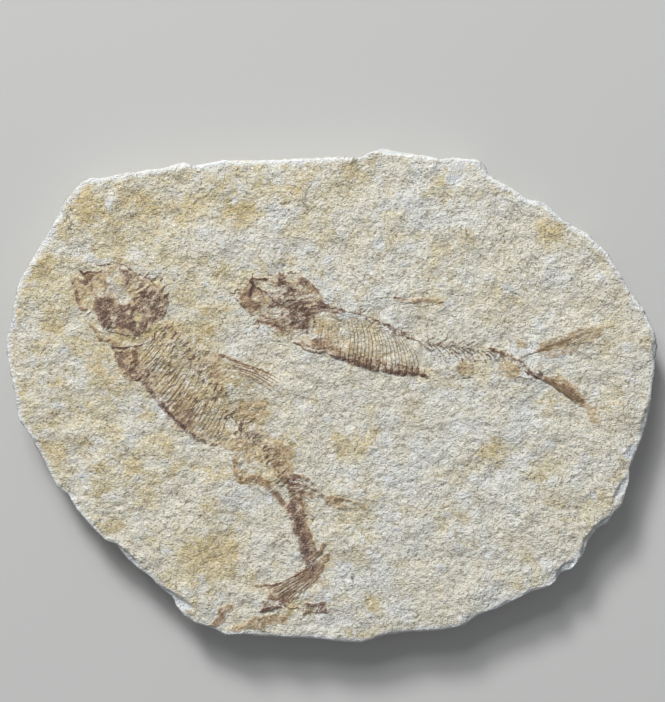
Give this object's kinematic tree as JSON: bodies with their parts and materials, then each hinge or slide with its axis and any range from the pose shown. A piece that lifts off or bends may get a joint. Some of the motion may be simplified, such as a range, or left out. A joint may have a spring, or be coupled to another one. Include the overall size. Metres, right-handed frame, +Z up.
{
  "type": "fossil fish slab",
  "caption": "Broken slab of pale limestone with petrified fish lying side-on on its split face, for display or study.",
  "frame": {"origin": "centre of the slab's footprint on its flat back, which is the face it rests on", "axes": "+Z up through the slab to the fossil face, +X along its long direction, towards the right fish's tail, +Y towards the edge above the fishes' heads"},
  "size_m": [0.18, 0.137, 0.0121],
  "materials": {
    "limestone": "matte",
    "fossil_bone": "matte"
  },
  "bodies": {
    "root": {"limestone_slab": "limestone", "left_fish": "fossil_bone", "right_fish": "fossil_bone", "right_fish_dorsal_fin": "fossil_bone", "tail_scrap_left": "fossil_bone", "tail_scrap_right": "fossil_bone"}
  },
  "joints": []
}
